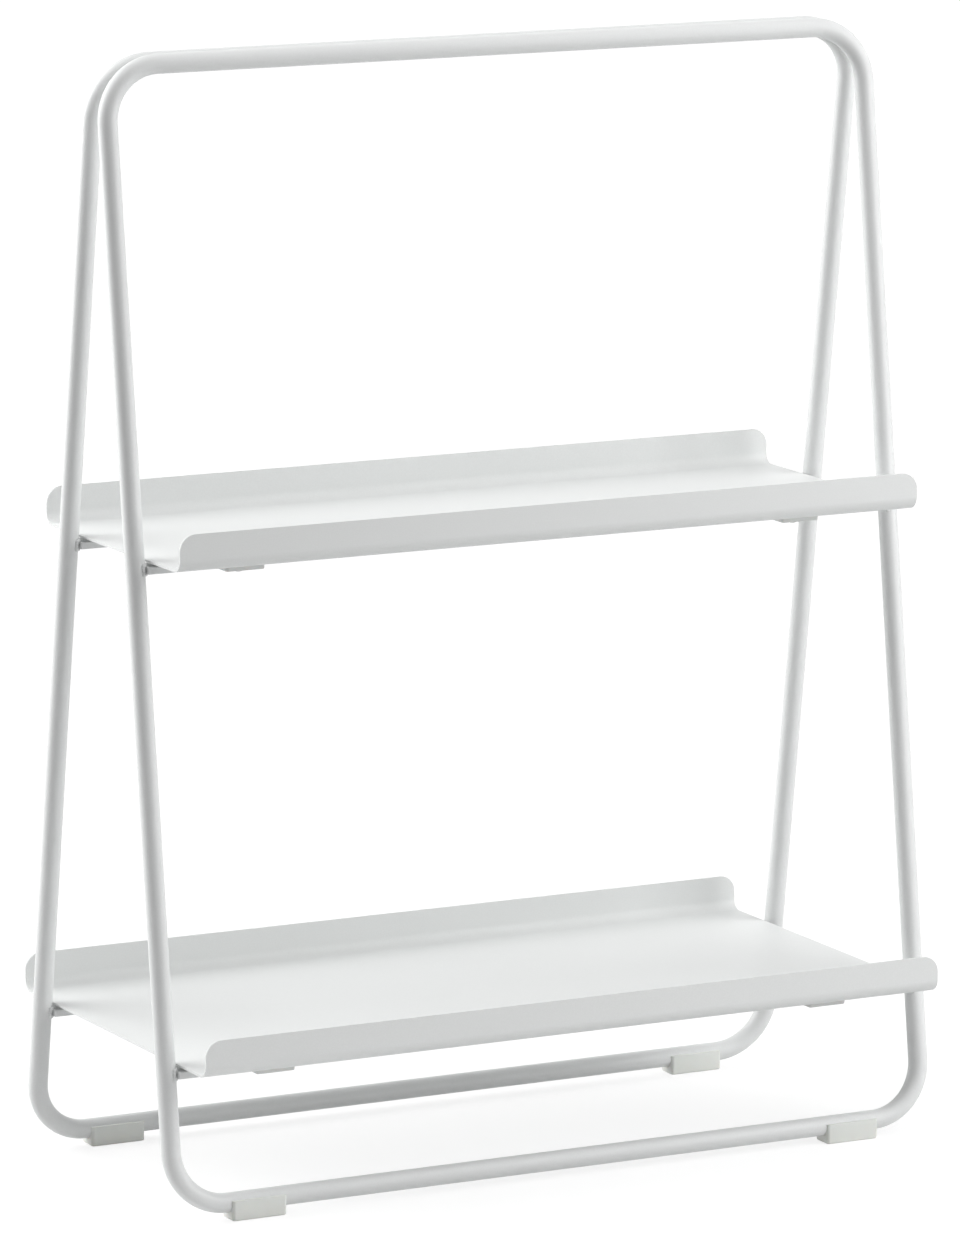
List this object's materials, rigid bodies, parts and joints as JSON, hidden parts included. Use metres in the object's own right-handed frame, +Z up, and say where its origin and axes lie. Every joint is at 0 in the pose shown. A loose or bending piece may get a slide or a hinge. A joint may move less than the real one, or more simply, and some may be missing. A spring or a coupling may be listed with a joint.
{
  "type": "a-frame shelf",
  "caption": "Free-standing A-frame shelf of bent round tube, with folded sheet trays that have a front lip and a back lip, the lower tray deeper than the upper, on clip-on glides.",
  "frame": {"origin": "on the floor, under the middle of the shelf", "axes": "+X along the shelf to the right as seen from the front, +Y from front to back, +Z up"},
  "size_m": [0.614, 0.2976, 0.8],
  "materials": {
    "white_steel": "satin white powder coat with a fine grain, on steel tube and bar",
    "white_sheet": "matte white powder coat with a fine grain, on sheet steel",
    "white_screw": "white painted steel",
    "zinc": "zinc plated steel",
    "boot": "moulded, matte",
    "foot": "moulded, matte, slightly warm white"
  },
  "bodies": {
    "root": {"front_frame": "white_steel", "back_frame": "white_steel", "top_rail_welds": "white_steel", "upper_tray": "white_sheet", "lower_tray": "white_sheet", "upper_front_left_arm": "white_steel", "upper_front_right_arm": "white_steel", "upper_back_left_arm": "white_steel", "upper_back_right_arm": "white_steel", "upper_front_left_boot": "boot", "upper_front_right_boot": "boot", "upper_back_left_boot": "boot", "upper_back_right_boot": "boot", "upper_arm_welds": "white_steel", "upper_tray_standoffs": "zinc", "upper_tray_screws": "white_screw", "lower_front_left_arm": "white_steel", "lower_front_right_arm": "white_steel", "lower_back_left_arm": "white_steel", "lower_back_right_arm": "white_steel", "lower_front_left_boot": "boot", "lower_front_right_boot": "boot", "lower_back_left_boot": "boot", "lower_back_right_boot": "boot", "lower_arm_welds": "white_steel", "lower_tray_standoffs": "zinc", "lower_tray_screws": "white_screw", "front_left_foot": "foot", "front_right_foot": "foot", "back_left_foot": "foot", "back_right_foot": "foot"}
  },
  "joints": []
}
